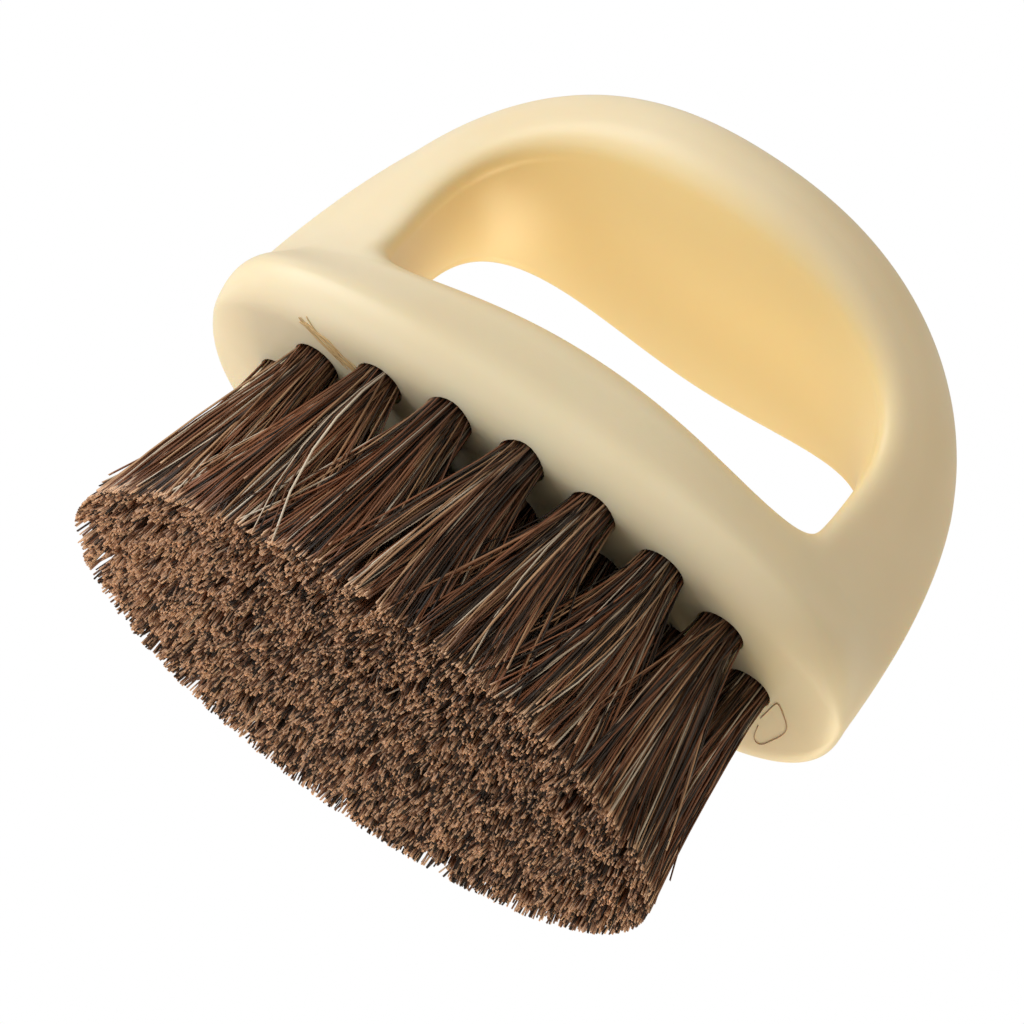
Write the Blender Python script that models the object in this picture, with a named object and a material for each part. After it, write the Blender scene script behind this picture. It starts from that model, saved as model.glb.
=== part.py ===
"""Palm shoe brush: a moulded head with a finger loop, hair tufts in drilled holes, and a staple in each hole.

The brush stands on its trimmed hair. The hair ends lie on z = 0, +X runs along the head, -Y is the front
and +Z points to the finger loop. Lengths are in metres.
"""

import math
import random

import bmesh
import bpy
import numpy as np
from mathutils import Matrix, Vector
from mathutils.geometry import delaunay_2d_cdt

# Head: an oval block, widest just above its underside, with a crowned top that falls towards its ends
HEAD_LENGTH = 0.0822
HEAD_WIDTH = 0.0442
HEAD_TOP_WIDTH = 0.0373
HEAD_LEAN_POWER = 1.2
HEAD_THICKNESS = 0.0141
HEAD_END_DROP = 0.0028
HEAD_BLUNT_END = 0.0004
HEAD_OVAL_POWER = 2.8
HEAD_TOP_OVAL_POWER = 2.15
HEAD_END_POWER = 4.0
WIDEST_ABOVE_UNDERSIDE = 0.0035

# Finger loop: a broad D-shaped band that rises from the head's two ends
LOOP_HEIGHT = 0.0457
LOOP_END_INSET = 0.0014
LOOP_TOP_WALL = 0.0091
LOOP_SIDE_WALL = 0.0121
LOOP_FOOT_WIDTH = 0.0415
LOOP_TOP_WIDTH = 0.0420
LOOP_OUTLINE_POWER = 3.02
LOOP_TAPER_POWER = 1.11
FINGER_HOLE_ARCH_POWER = 3.4
FINGER_HOLE_FLOOR_POWER = 3.5
FINGER_HOLE_CROWN = 0.0012
FINGER_HOLE_WIDEST_ABOVE_HEAD = 0.0031
SHOULDER_HEIGHT = 0.0149
RIM_DEPTH = 0.0085

# Rounded edges: the head's two rims, and the loop's outer and inner ones
HEAD_BOTTOM_ROUND = 0.0062
HEAD_TOP_ROUND = 0.0037
LOOP_OUTER_ROUND = 0.0096
LOOP_INNER_ROUND = 0.0041
ROUND_LIMIT_SHARE = 0.92

# Hair: free length below the head. The trimmed face stops short of the head's ends and passes its sides
HAIR_LENGTH = 0.0273
TRIM_END_INSET = 0.0032
TRIM_SIDE_SPREAD = 0.0026
BUNDLE_LENGTH = 0.0050
STRANDS_IN_RINGS = (1, 4, 7)
STRAND_SIDES = 3
SPLAY_POWER = 1.35
STRAND_ROOT_SHARE = 0.80
STRAND_TIP_SHARE = 0.88
STRAY_SHARE = 0.08

# Tuft holes: two nested ovals of blind holes in the underside, and a row in the middle
TUFT_HOLE_DIAMETER = 0.0058
TUFT_HOLE_DEPTH = 0.0095
TUFT_END_MARGIN = 0.0079
TUFT_SIDE_MARGIN = 0.0037
RING_SPACING = 0.0095
RIM_TUFTS = 16
INNER_TUFTS = 8

# Staples: flat wire on edge across each hole, with each end in the hole's wall
STAPLE_BITE = 0.0005
STAPLE_HEIGHT = 0.0016
STAPLE_THICKNESS = 0.0004
FOLD_THICKNESS = 0.0013

# Fits and cuts
CLEARANCE = 0.0003
OVERRUN = 0.0020

# Facets
LOOP_STATIONS = 84
OUTLINE_SAMPLES = 4000
FACE_STEPS = 2
INNER_FACE_STEPS = 4
CORNER_STEPS = 4
SIDE_STEPS = 2
HOLE_SIDES = 10
STRAND_LEVEL_SHARES = (0.0, 0.45, 1.0)
FITTING_PASSES = 6
FILL_TOLERANCE = 0.0000001
SEED = 11
HAIR_COLOURS = ((0.070, 0.037, 0.024), (0.085, 0.045, 0.030), (0.055, 0.030, 0.022))

# Sizes and heights that follow from the ones above
LOOP_LENGTH = HEAD_LENGTH - 2 * LOOP_END_INSET
TRIM_FACE_LENGTH = HEAD_LENGTH - 2 * TRIM_END_INSET
TRIM_FACE_WIDTH = HEAD_WIDTH + 2 * TRIM_SIDE_SPREAD
UNDERSIDE_Z = HAIR_LENGTH
HEAD_TOP_Z = UNDERSIDE_Z + HEAD_THICKNESS
WIDEST_Z = UNDERSIDE_Z + WIDEST_ABOVE_UNDERSIDE
TOP_Z = UNDERSIDE_Z + LOOP_HEIGHT
HOLE_ROOF_Z = UNDERSIDE_Z + TUFT_HOLE_DEPTH
HOLE_HALF_LENGTH = LOOP_LENGTH / 2 - LOOP_SIDE_WALL
STAPLE_TOP_Z = HOLE_ROOF_Z - CLEARANCE - FOLD_THICKNESS - CLEARANCE
STAPLE_LENGTH = TUFT_HOLE_DIAMETER + 2 * STAPLE_BITE
BUNDLE_FLAT_SHARE = math.cos(math.pi / HOLE_SIDES)


def clear_scene():
    """Removes whatever the file holds at the start."""
    for obj in list(bpy.data.objects):
        bpy.data.objects.remove(obj, do_unlink=True)


def principled(name, colour, roughness, metallic=0.0):
    """A material with one Principled BSDF."""
    material = bpy.data.materials.new(name)
    material.use_nodes = True
    shader = material.node_tree.nodes["Principled BSDF"]
    shader.inputs["Base Color"].default_value = (*colour, 1.0)
    shader.inputs["Roughness"].default_value = roughness
    shader.inputs["Metallic"].default_value = metallic
    return material


def add_object(name, mesh, material=None):
    """A named object in the scene, smooth where its faces meet at a low angle."""
    obj = bpy.data.objects.new(name, mesh)
    bpy.context.scene.collection.objects.link(obj)
    if material:
        mesh.materials.append(material)
    mesh.shade_smooth()
    mesh.set_sharp_from_angle(angle=math.radians(40))
    return obj


def cut(target, cutters, name):
    """Takes a mesh of closed shapes out of the target, and hides it from renders."""
    helper = bpy.data.objects.new(name, cutters)
    bpy.context.scene.collection.objects.link(helper)
    helper.hide_render = True
    helper.display_type = "WIRE"
    modifier = target.modifiers.new(name, "BOOLEAN")
    modifier.operation = "DIFFERENCE"
    modifier.solver = "EXACT"
    modifier.object = helper


def smooth_step(low, high, value):
    """0 below low, 1 above high, and a smooth curve between them."""
    share = np.clip((value - low) / (high - low), 0.0, 1.0)
    return share * share * (3 - 2 * share)


def superellipse(turn, power):
    """The unit superellipse at an angle: x and z from -1 to 1."""
    across, up = np.cos(turn), np.sin(turn)
    exponent = 2 / power
    return np.sign(across) * np.abs(across) ** exponent, np.sign(up) * np.abs(up) ** exponent


def outer_outline(turn):
    """The front view's outer line: the loop above the head's widest height, and the head below it."""
    above = np.sin(turn) >= 0
    power = np.where(above, LOOP_OUTLINE_POWER, HEAD_END_POWER)
    across, up = superellipse(turn, power)
    z = WIDEST_Z + up * np.where(above, TOP_Z - WIDEST_Z, WIDEST_Z - UNDERSIDE_Z)
    shoulder = smooth_step(WIDEST_Z, HEAD_TOP_Z + SHOULDER_HEIGHT, z)
    half_length = HEAD_LENGTH / 2 + (LOOP_LENGTH - HEAD_LENGTH) / 2 * shoulder
    return across * half_length, z


def crown_fall(share):
    """How far the head's top has fallen at a share of the finger hole's half length."""
    return HEAD_END_DROP * np.tanh(share**2)


def finger_hole_outline(turn):
    """The front view's inner line: an arch above, and the head's crowned top below."""
    above = np.sin(turn) >= 0
    power = np.where(above, FINGER_HOLE_ARCH_POWER, FINGER_HOLE_FLOOR_POWER)
    across, up = superellipse(turn, power)
    widest = HEAD_TOP_Z + FINGER_HOLE_WIDEST_ABOVE_HEAD
    z = widest + up * np.where(above, TOP_Z - LOOP_TOP_WALL - widest, widest - HEAD_TOP_Z)
    return across * HOLE_HALF_LENGTH, z - crown_fall(across) * np.clip(-up, 0.0, 1.0)


def head_top(x):
    """Height of the head's crowned top at a place along the head."""
    return HEAD_TOP_Z - crown_fall(x / HOLE_HALF_LENGTH)


def oval_share(x, power, taper):
    """The plan's width at a place along the head, as a share of its width in the middle."""
    share = np.abs(x) / (HEAD_LENGTH / 2 + HEAD_BLUNT_END)
    return (1 - share**power) ** taper


def half_width(x, z):
    """Half the moulding's width in Y: the head's leaning wall below, and the loop's band above.

    The band takes over from RIM_DEPTH below the head's top, so the head's rim stands out from the loop.
    """
    top = head_top(x)
    lean = np.clip((z - WIDEST_Z) / (top - WIDEST_Z), 0.0, 1.0) ** HEAD_LEAN_POWER
    power = HEAD_OVAL_POWER + (HEAD_TOP_OVAL_POWER - HEAD_OVAL_POWER) * lean
    head = (HEAD_WIDTH + (HEAD_TOP_WIDTH - HEAD_WIDTH) * lean) * oval_share(x, power, 1 / power)
    climb = np.clip((z - top) / (TOP_Z - top), 0.0, 1.0)
    band = LOOP_FOOT_WIDTH + (LOOP_TOP_WIDTH - LOOP_FOOT_WIDTH) * climb
    loop = band * oval_share(x, 2, LOOP_TAPER_POWER)
    shoulder = smooth_step(top - RIM_DEPTH, top + SHOULDER_HEIGHT / 2, z)
    return (head + (loop - head) * shoulder) / 2


def even_turns(count):
    """Angles that space the handle's sections evenly along its middle line."""
    turns = np.linspace(0.0, 2 * np.pi, OUTLINE_SAMPLES)
    outer, inner = outer_outline(turns), finger_hole_outline(turns)
    x = (outer[0] + inner[0]) / 2
    z = (outer[1] + inner[1]) / 2
    run = np.concatenate([[0.0], np.cumsum(np.hypot(np.diff(x), np.diff(z)))])
    return np.interp(np.arange(count) / count * run[-1], run, turns)


def loop_share(x, z):
    """How far a point of the inner line has left the head's top: 0 on it and 1 on the loop."""
    return float(smooth_step(head_top(x), HEAD_TOP_Z + SHOULDER_HEIGHT, z))


def edge_rounds(outer, inner, half):
    """Radii of the rounded edges at the outer line and at the finger hole, kept under half the wall."""
    rise = float(smooth_step(UNDERSIDE_Z, HEAD_TOP_Z, outer[1]))
    outer_round = HEAD_BOTTOM_ROUND + (LOOP_OUTER_ROUND - HEAD_BOTTOM_ROUND) * rise
    inner_round = HEAD_TOP_ROUND + (LOOP_INNER_ROUND - HEAD_TOP_ROUND) * loop_share(*inner)
    limit = half * ROUND_LIMIT_SHARE
    return min(outer_round, limit), min(inner_round, limit)


def section(outer, inner):
    """One closed section of the handle: a rounded rectangle from the outer line to the finger hole.

    The front half is worked out from the middle of the outer face round to the middle of the inner
    face, and the back half mirrors it. The loop's inner face swells towards its middle.
    """
    outer, inner = np.array(outer), np.array(inner)
    middle, reach = (outer + inner) / 2, (outer - inner) / 2
    half = float(np.hypot(*reach))
    outer_round, inner_round = edge_rounds(outer, inner, half)
    crown = FINGER_HOLE_CROWN * loop_share(*inner) / half

    def point(along, edge_round, inset_share, flat):
        x, z = middle + reach * along
        width = float(half_width(x, z))
        inset = inset_share * min(edge_round, width * ROUND_LIMIT_SHARE)
        return Vector((x, -(width - inset) * flat, z))

    front = [point(1.0, outer_round, 1.0, step / FACE_STEPS) for step in range(FACE_STEPS + 1)]
    angles = [math.pi / 2 * step / CORNER_STEPS for step in range(1, CORNER_STEPS + 1)]
    for angle in angles:
        sunk = outer_round * (1 - math.cos(angle)) / half
        front.append(point(1 - sunk, outer_round, 1 - math.sin(angle), 1.0))
    first, last = 1 - outer_round / half, inner_round / half - 1
    for step in range(1, SIDE_STEPS):
        front.append(point(first + (last - first) * step / SIDE_STEPS, 0.0, 0.0, 1.0))
    for angle in reversed(angles):
        sunk = inner_round * (1 - math.cos(angle)) / half
        front.append(point(sunk - 1, inner_round, 1 - math.sin(angle), 1.0))
    for flat in [step / INNER_FACE_STEPS for step in range(INNER_FACE_STEPS, -1, -1)]:
        front.append(point(-1 - crown * (1 - flat**2), inner_round, 1.0, flat))
    back = [Vector((p.x, -p.y, p.z)) for p in reversed(front[1:-1])]
    return front + back


def closed_loft(sections):
    """A ring of quads that joins each section to the next, and the last to the first."""
    shape = bmesh.new()
    rings = [[shape.verts.new(p) for p in points] for points in sections]
    for ring, after in zip(rings, rings[1:] + rings[:1]):
        for i in range(len(ring)):
            j = (i + 1) % len(ring)
            shape.faces.new((ring[i], ring[j], after[j], after[i]))
    return finished(shape, "handle")


def finished(shape, name):
    """The bmesh as a mesh whose faces all point outwards."""
    bmesh.ops.recalc_face_normals(shape, faces=shape.faces)
    mesh = bpy.data.meshes.new(name)
    shape.to_mesh(mesh)
    shape.free()
    return mesh


def add_box(shape, centre, size):
    """A box into the bmesh."""
    place = Matrix.Translation(centre) @ Matrix.Diagonal((*size, 1.0))
    bmesh.ops.create_cube(shape, size=1.0, matrix=place)


def add_walls(shape, rings):
    """Quads that join each ring of points to the next. Gives the rings of vertices."""
    made = [[shape.verts.new(p) for p in ring] for ring in rings]
    for ring, after in zip(made, made[1:]):
        for i in range(len(ring)):
            j = (i + 1) % len(ring)
            shape.faces.new((ring[i], ring[j], after[j], after[i]))
    return made


def add_tube(shape, rings):
    """A closed tube through rings of points, with flat ends."""
    made = add_walls(shape, rings)
    shape.faces.new(made[0])
    shape.faces.new(made[-1])


def fill_between(shape, rim, islands):
    """Fills a level face out to its rim, and leaves open the rings that stand on it."""
    rings = [rim, *islands]
    verts = [vert for ring in rings for vert in ring]
    owner = [number for number, ring in enumerate(rings) for _ in ring]
    edges, first = [], 0
    for ring in rings:
        edges += [(first + i, first + (i + 1) % len(ring)) for i in range(len(ring))]
        first += len(ring)
    filled = delaunay_2d_cdt([vert.co.xy for vert in verts], edges, [], 0, FILL_TOLERANCE)
    faces, origins = filled[2], filled[3]
    for face in faces:
        corners = [origins[i][0] for i in face]
        owners = {owner[i] for i in corners}
        if len(owners) > 1 or owners == {0}:
            shape.faces.new([verts[i] for i in corners])


def polygon_ring(centre, radius, sides, turn=0.0):
    """A level polygon of points round a centre."""
    angles = [turn + 2 * math.pi * i / sides for i in range(sides)]
    return [centre + Vector((radius * math.cos(angle), radius * math.sin(angle), 0.0)) for angle in angles]


def oval_places(half_length, half_width_y, count):
    """Points spaced evenly round an oval, the first one at its +X end."""
    turns = np.linspace(0.0, 2 * np.pi, OUTLINE_SAMPLES)
    x, y = half_length * np.cos(turns), half_width_y * np.sin(turns)
    run = np.concatenate([[0.0], np.cumsum(np.hypot(np.diff(x), np.diff(y)))])
    wanted = np.arange(count) / count * run[-1]
    return list(zip(np.interp(wanted, run, x), np.interp(wanted, run, y)))


def row_places(oval):
    """Points on the long axis inside an oval of places, each midway between two of its neighbours."""
    side = [x for x, _ in oval[1 : len(oval) // 2]]
    return [((x + after) / 2, 0.0) for x, after in zip(side[1:], side)][::-1]


def least_spacing(places):
    """The shortest distance between any two of the places."""
    points = np.array(list(places))
    gaps = np.hypot(*(points[:, None] - points[None]).transpose(2, 0, 1))
    return float(gaps[np.triu_indices(len(points), 1)].min())


def tuft_roots():
    """Each tuft's name and the centre of its hole in the underside."""
    rim_x = HEAD_LENGTH / 2 - TUFT_END_MARGIN - TUFT_HOLE_DIAMETER / 2
    rim_y = HEAD_WIDTH / 2 - TUFT_SIDE_MARGIN - TUFT_HOLE_DIAMETER / 2
    inner_x, inner_y = rim_x - RING_SPACING, rim_y - RING_SPACING
    rim = oval_places(rim_x, rim_y, RIM_TUFTS)
    inner = oval_places(inner_x, inner_y, INNER_TUFTS)
    groups = {"rim": rim, "inner": inner, "centre": row_places(inner)}
    return {
        f"{group}_{number:02}": place
        for group, places in groups.items()
        for number, place in enumerate(places, start=1)
    }


def tuft_tips(roots):
    """Where each tuft is centred on the trimmed face, and how far its outermost strand lies from there.

    The roots' pattern is stretched until the outer strands end on the trimmed face's outline.
    """
    rim_x = max(x for x, _ in roots.values())
    rim_y = max(y for _, y in roots.values())
    reach = least_spacing(roots.values()) / 2
    for _ in range(FITTING_PASSES):
        stretch_x = (TRIM_FACE_LENGTH / 2 - reach) / rim_x
        stretch_y = (TRIM_FACE_WIDTH / 2 - reach) / rim_y
        tips = {name: (x * stretch_x, y * stretch_y) for name, (x, y) in roots.items()}
        reach = (least_spacing(tips.values()) - CLEARANCE) / 2
    return tips, reach


class Tuft:
    """One bunch of hair: a bundle folded over its staple, and the strands that fan out below it."""

    def __init__(self, name, root, tip, reach, stray):
        self.name = name
        self.root = Vector((*root, 0.0))
        self.tip = Vector((*tip, 0.0))
        self.bundle_radius = TUFT_HOLE_DIAMETER / 2 - CLEARANCE
        self.root_fan = self.fan(self.bundle_radius * BUNDLE_FLAT_SHARE - CLEARANCE, STRAND_ROOT_SHARE)
        self.tip_fan = self.fan(reach, STRAND_TIP_SHARE + 2 * STRAY_SHARE)
        self.stray = stray

    @staticmethod
    def fan(radius, share):
        """The outer strand ring's radius, for strands that fill a share of their spacing to the radius."""
        gaps = len(STRANDS_IN_RINGS) - 1
        return radius / (1 + share / (2 * gaps))

    def spread(self, z):
        """How far the hair has fanned out at a height: 0 at the underside and 1 at the trimmed face."""
        return (1 - z / UNDERSIDE_Z) ** SPLAY_POWER

    def centre(self, z):
        """The middle of the tuft at a height."""
        place = self.root.lerp(self.tip, self.spread(z))
        return Vector((place.x, place.y, z))

    def reach(self, z):
        """Distance from the tuft's middle to its outer ring of strands at a height."""
        return self.root_fan + (self.tip_fan - self.root_fan) * self.spread(z)

    def strand_radius(self, z):
        """Half the thickness of a strand at a height, as a share of the spacing of the rings there."""
        share = STRAND_ROOT_SHARE + (STRAND_TIP_SHARE - STRAND_ROOT_SHARE) * self.spread(z)
        return share * self.reach(z) / (len(STRANDS_IN_RINGS) - 1) / 2

    def strand_rings(self):
        """Each strand as rings of points, from the bundle's end to the trimmed face."""
        heights = [(UNDERSIDE_Z - BUNDLE_LENGTH) * (1 - share) for share in STRAND_LEVEL_SHARES]
        for ring, count in enumerate(STRANDS_IN_RINGS):
            ring_share = ring / (len(STRANDS_IN_RINGS) - 1)
            for i in range(count):
                angle = 2 * math.pi * (i + ring / 2) / count
                side = Vector((math.cos(angle), math.sin(angle), 0.0)) * ring_share
                drift = Vector((self.stray.uniform(-1, 1), self.stray.uniform(-1, 1), 0.0))
                drift *= STRAY_SHARE * ring_share * self.tip_fan / (len(STRANDS_IN_RINGS) - 1) / 2
                turn = self.stray.uniform(0.0, math.pi)
                middles = [self.centre(z) + side * self.reach(z) + drift * self.spread(z) for z in heights]
                yield [polygon_ring(p, self.strand_radius(p.z), STRAND_SIDES, turn) for p in middles]

    def shape(self):
        """The bundle, from its fold to where the strands part, and the strands, as one mesh."""
        end_z = UNDERSIDE_Z - BUNDLE_LENGTH
        end_radius = (self.reach(end_z) + self.strand_radius(end_z) + CLEARANCE) / BUNDLE_FLAT_SHARE
        fold = Vector((self.root.x, self.root.y, HOLE_ROOF_Z - CLEARANCE))
        mouth = Vector((self.root.x, self.root.y, UNDERSIDE_Z))
        shape = bmesh.new()
        bundle = add_walls(shape, [
            polygon_ring(fold, self.bundle_radius, HOLE_SIDES),
            polygon_ring(mouth, self.bundle_radius, HOLE_SIDES),
            polygon_ring(self.centre(end_z), end_radius, HOLE_SIDES),
        ])
        shape.faces.new(bundle[0])
        strands = [add_walls(shape, rings) for rings in self.strand_rings()]
        for strand in strands:
            shape.faces.new(strand[-1])
        fill_between(shape, bundle[-1], [strand[0] for strand in strands])
        return finished(shape, f"tuft_{self.name}")

    def staple_centre(self):
        """The middle of the staple under the fold."""
        return Vector((self.root.x, self.root.y, STAPLE_TOP_Z - STAPLE_HEIGHT / 2))

    def build(self, material):
        """The tuft as one body with the staple's slot through its fold."""
        tuft = add_object(f"tuft_{self.name}", self.shape(), material)
        slot = bmesh.new()
        add_box(slot, self.staple_centre(), (TUFT_HOLE_DIAMETER + OVERRUN, *staple_slot_section()))
        cut(tuft, finished(slot, f"{self.name}_slot"), f"slot_{self.name}")


def staple_slot_section():
    """Thickness and height of the slot that holds a staple with its clearance."""
    return STAPLE_THICKNESS + 2 * CLEARANCE, STAPLE_HEIGHT + 2 * CLEARANCE


def build_handle(tufts, material):
    """The moulding: head and finger loop in one, with a blind hole and a staple seat for each tuft."""
    turns = even_turns(LOOP_STATIONS)
    outer = np.stack(outer_outline(turns), axis=1)
    inner = np.stack(finger_hole_outline(turns), axis=1)
    handle = add_object("handle", closed_loft([section(o, i) for o, i in zip(outer, inner)]), material)
    holes, seats = bmesh.new(), bmesh.new()
    for tuft in tufts:
        low = Vector((tuft.root.x, tuft.root.y, UNDERSIDE_Z - OVERRUN))
        high = Vector((tuft.root.x, tuft.root.y, HOLE_ROOF_Z))
        add_tube(holes, [polygon_ring(end, TUFT_HOLE_DIAMETER / 2, HOLE_SIDES) for end in (low, high)])
        add_box(seats, tuft.staple_centre(), (STAPLE_LENGTH + 2 * CLEARANCE, *staple_slot_section()))
    cut(handle, finished(holes, "tuft_holes"), "tuft_holes")
    cut(handle, finished(seats, "staple_seats"), "staple_seats")


def build_staple(tuft, material):
    """A flat wire anchor that stands on edge across the tuft's hole."""
    shape = bmesh.new()
    add_box(shape, Vector((0.0, 0.0, 0.0)), (STAPLE_LENGTH, STAPLE_THICKNESS, STAPLE_HEIGHT))
    staple = add_object(f"staple_{tuft.name}", finished(shape, f"{tuft.name}_staple"), material)
    staple.location = tuft.staple_centre()


def main():
    """Builds the handle, the tufts and their staples."""
    clear_scene()
    cream = principled("cream_plastic", (0.84, 0.73, 0.54), 0.42)
    hair = [principled(f"brown_hair_{i + 1}", colour, 0.6) for i, colour in enumerate(HAIR_COLOURS)]
    steel = principled("staple_steel", (0.62, 0.62, 0.62), 0.35, 1.0)
    stray = random.Random(SEED)
    roots = tuft_roots()
    tips, reach = tuft_tips(roots)
    tufts = [Tuft(name, root, tips[name], reach, stray) for name, root in roots.items()]
    build_handle(tufts, cream)
    for i, tuft in enumerate(tufts):
        tuft.build(hair[i % len(hair)])
        build_staple(tuft, steel)


main()
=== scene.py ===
"""Palm shoe brush with a finger loop: cream moulded handle, brown hair tufts and their wire staples.

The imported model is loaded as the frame. The handle and every tuft are replaced by finer surfaces worked
out with numpy from the same sizes, a few shed hairs lie on the underside, and the staples get a drawn steel
finish. Lengths are in metres: +X runs along the head, -Y is the front, +Z points to the finger loop, and
the trimmed hair stands on z = 0.
"""

import logging
import math
from dataclasses import dataclass
from enum import Enum

import bpy
import numpy as np
from mathutils import Matrix, Vector

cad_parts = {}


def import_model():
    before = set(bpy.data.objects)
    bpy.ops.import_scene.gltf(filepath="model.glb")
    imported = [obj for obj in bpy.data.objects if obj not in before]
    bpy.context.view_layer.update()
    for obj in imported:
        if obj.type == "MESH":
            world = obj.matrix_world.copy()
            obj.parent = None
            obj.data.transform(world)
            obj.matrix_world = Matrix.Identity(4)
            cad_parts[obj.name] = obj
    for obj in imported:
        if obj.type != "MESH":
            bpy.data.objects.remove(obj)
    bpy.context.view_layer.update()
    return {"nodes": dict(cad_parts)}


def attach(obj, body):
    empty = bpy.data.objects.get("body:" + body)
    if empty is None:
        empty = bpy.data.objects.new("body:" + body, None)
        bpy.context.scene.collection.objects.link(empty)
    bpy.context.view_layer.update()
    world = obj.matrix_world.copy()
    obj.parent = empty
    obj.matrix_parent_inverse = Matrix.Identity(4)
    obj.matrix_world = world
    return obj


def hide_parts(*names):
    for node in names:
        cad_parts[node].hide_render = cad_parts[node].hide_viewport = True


log = logging.getLogger("shoe_brush")


class Tint(Enum):
    """Named colours, linear RGB."""

    CREAM = (0.870, 0.745, 0.520)
    CREAM_DEEP = (0.810, 0.630, 0.370)
    # Painted warm glow for the finger hole's inner face, standing in for light bounced inside the hole.
    PAINTED_GLOW_HONEY = (0.950, 0.740, 0.345)
    SOOT_BROWN = (0.020, 0.011, 0.007)
    DARK_BROWN = (0.045, 0.024, 0.014)
    CHESTNUT = (0.200, 0.085, 0.042)
    AUBURN = (0.310, 0.115, 0.050)
    TAN = (0.520, 0.300, 0.160)
    ASH = (0.760, 0.640, 0.500)
    STRAW = (0.900, 0.570, 0.350)
    GOLD = (0.800, 0.560, 0.270)
    STEEL = (0.560, 0.560, 0.550)
    STEEL_DARK = (0.300, 0.295, 0.285)
    PAPER = (0.900, 0.898, 0.892)
    PAPER_SHADE = (0.860, 0.858, 0.850)


class Socket:
    """A shader value on which Python's arithmetic adds Math nodes."""

    def __init__(self, graph: "Graph", link: bpy.types.NodeSocket) -> None:
        """Keeps the graph and the output socket that carries the value."""
        self.graph = graph
        self.link = link

    def _maths(self, operation: str, *values: "Socket | float") -> "Socket":
        """A Math node over the values."""
        sockets = dict(enumerate(values))
        return self.graph.add("ShaderNodeMath", {"operation": operation}, sockets)

    def __add__(self, other: "Socket | float") -> "Socket":
        """Sum."""
        return self._maths("ADD", self, other)

    __radd__ = __add__

    def __sub__(self, other: "Socket | float") -> "Socket":
        """Difference."""
        return self._maths("SUBTRACT", self, other)

    def __rsub__(self, other: "Socket | float") -> "Socket":
        """Difference with the value second."""
        return self._maths("SUBTRACT", other, self)

    def __mul__(self, other: "Socket | float") -> "Socket":
        """Product."""
        return self._maths("MULTIPLY", self, other)

    __rmul__ = __mul__

    def ramp(self, low: float, high: float) -> "Socket":
        """A smooth step of the value from 0 at low to 1 at high."""
        settings = {"interpolation_type": "SMOOTHSTEP"}
        inputs = {"Value": self, "From Min": low, "From Max": high}
        return self.graph.add("ShaderNodeMapRange", settings, inputs)


class Graph:
    """A material's node tree, built from expressions."""

    def __init__(self, name: str) -> None:
        """Starts an empty tree with an output and one Principled shader."""
        self.material = bpy.data.materials.new(name)
        self.material.use_nodes = True
        self.tree = self.material.node_tree
        self.tree.nodes.clear()
        self.output = self.tree.nodes.new("ShaderNodeOutputMaterial")
        self.shader = self.tree.nodes.new("ShaderNodeBsdfPrincipled")
        self.tree.links.new(self.shader.outputs[0], self.output.inputs["Surface"])

    def feed(self, socket: bpy.types.NodeSocket, value: "Socket | float | tuple") -> None:
        """Links a socket value to an input, or sets a constant on it.

        Args:
            socket: The input to feed.
            value: A socket value, a number, or a colour or vector.
        """
        if isinstance(value, Socket):
            self.tree.links.new(value.link, socket)
        elif isinstance(value, tuple) and len(value) == 3 and len(socket.default_value) == 4:
            socket.default_value = (*value, 1.0)
        else:
            socket.default_value = value

    def add(self, kind: str, settings: dict, inputs: dict, output: "int | str" = 0) -> Socket:
        """Adds any node.

        Args:
            kind: The node's type.
            settings: The node's own settings, set before its sockets.
            inputs: Values or links by socket name or number.
            output: Which output the value is read from.

        Returns:
            The output as a socket value.
        """
        node = self.tree.nodes.new(kind)
        for key, value in settings.items():
            setattr(node, key, value)
        for key, value in inputs.items():
            self.feed(node.inputs[key], value)
        return Socket(self, node.outputs[output])

    def place(self) -> Socket:
        """Object coordinates, in metres."""
        return self.add("ShaderNodeTexCoord", {}, {}, "Object")

    def attribute(self, name: str) -> Socket:
        """A number kept on the mesh."""
        return self.add("ShaderNodeAttribute", {"attribute_name": name}, {}, "Fac")

    def noise(self, vector: Socket, scale: float, detail: float = 2.0, rough: float = 0.5) -> Socket:
        """Noise from 0 to 1 over a vector."""
        inputs = {"Vector": vector, "Scale": scale, "Detail": detail, "Roughness": rough}
        return self.add("ShaderNodeTexNoise", {}, inputs)

    def stretched(self, vector: Socket, scale: tuple) -> Socket:
        """The vector with each axis multiplied by its own number."""
        return self.add("ShaderNodeVectorMath", {"operation": "MULTIPLY"}, {0: vector, 1: scale})

    def mixed(self, share: Socket, first: "Socket | tuple", second: "Socket | tuple") -> Socket:
        """A colour from first at 0 to second at 1."""
        return self.add("ShaderNodeMix", {"data_type": "RGBA"}, {0: share, 6: first, 7: second}, 2)

    def bump(self, height: Socket, distance: float, strength: float) -> Socket:
        """A normal that rises and falls with a height."""
        return self.add("ShaderNodeBump", {}, {"Height": height, "Distance": distance, "Strength": strength})

    def finish(self, constants: dict, **varying: Socket) -> bpy.types.Material:
        """Sets the shader's constants and links its varying values.

        Args:
            constants: Numbers and colours by socket name.
            varying: Socket values by socket name, with _ for a space.

        Returns:
            The finished material.
        """
        for key, value in constants.items():
            self.feed(self.shader.inputs[key], value)
        for key, value in varying.items():
            self.feed(self.shader.inputs[key.replace("_", " ")], value)
        return self.material


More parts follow.
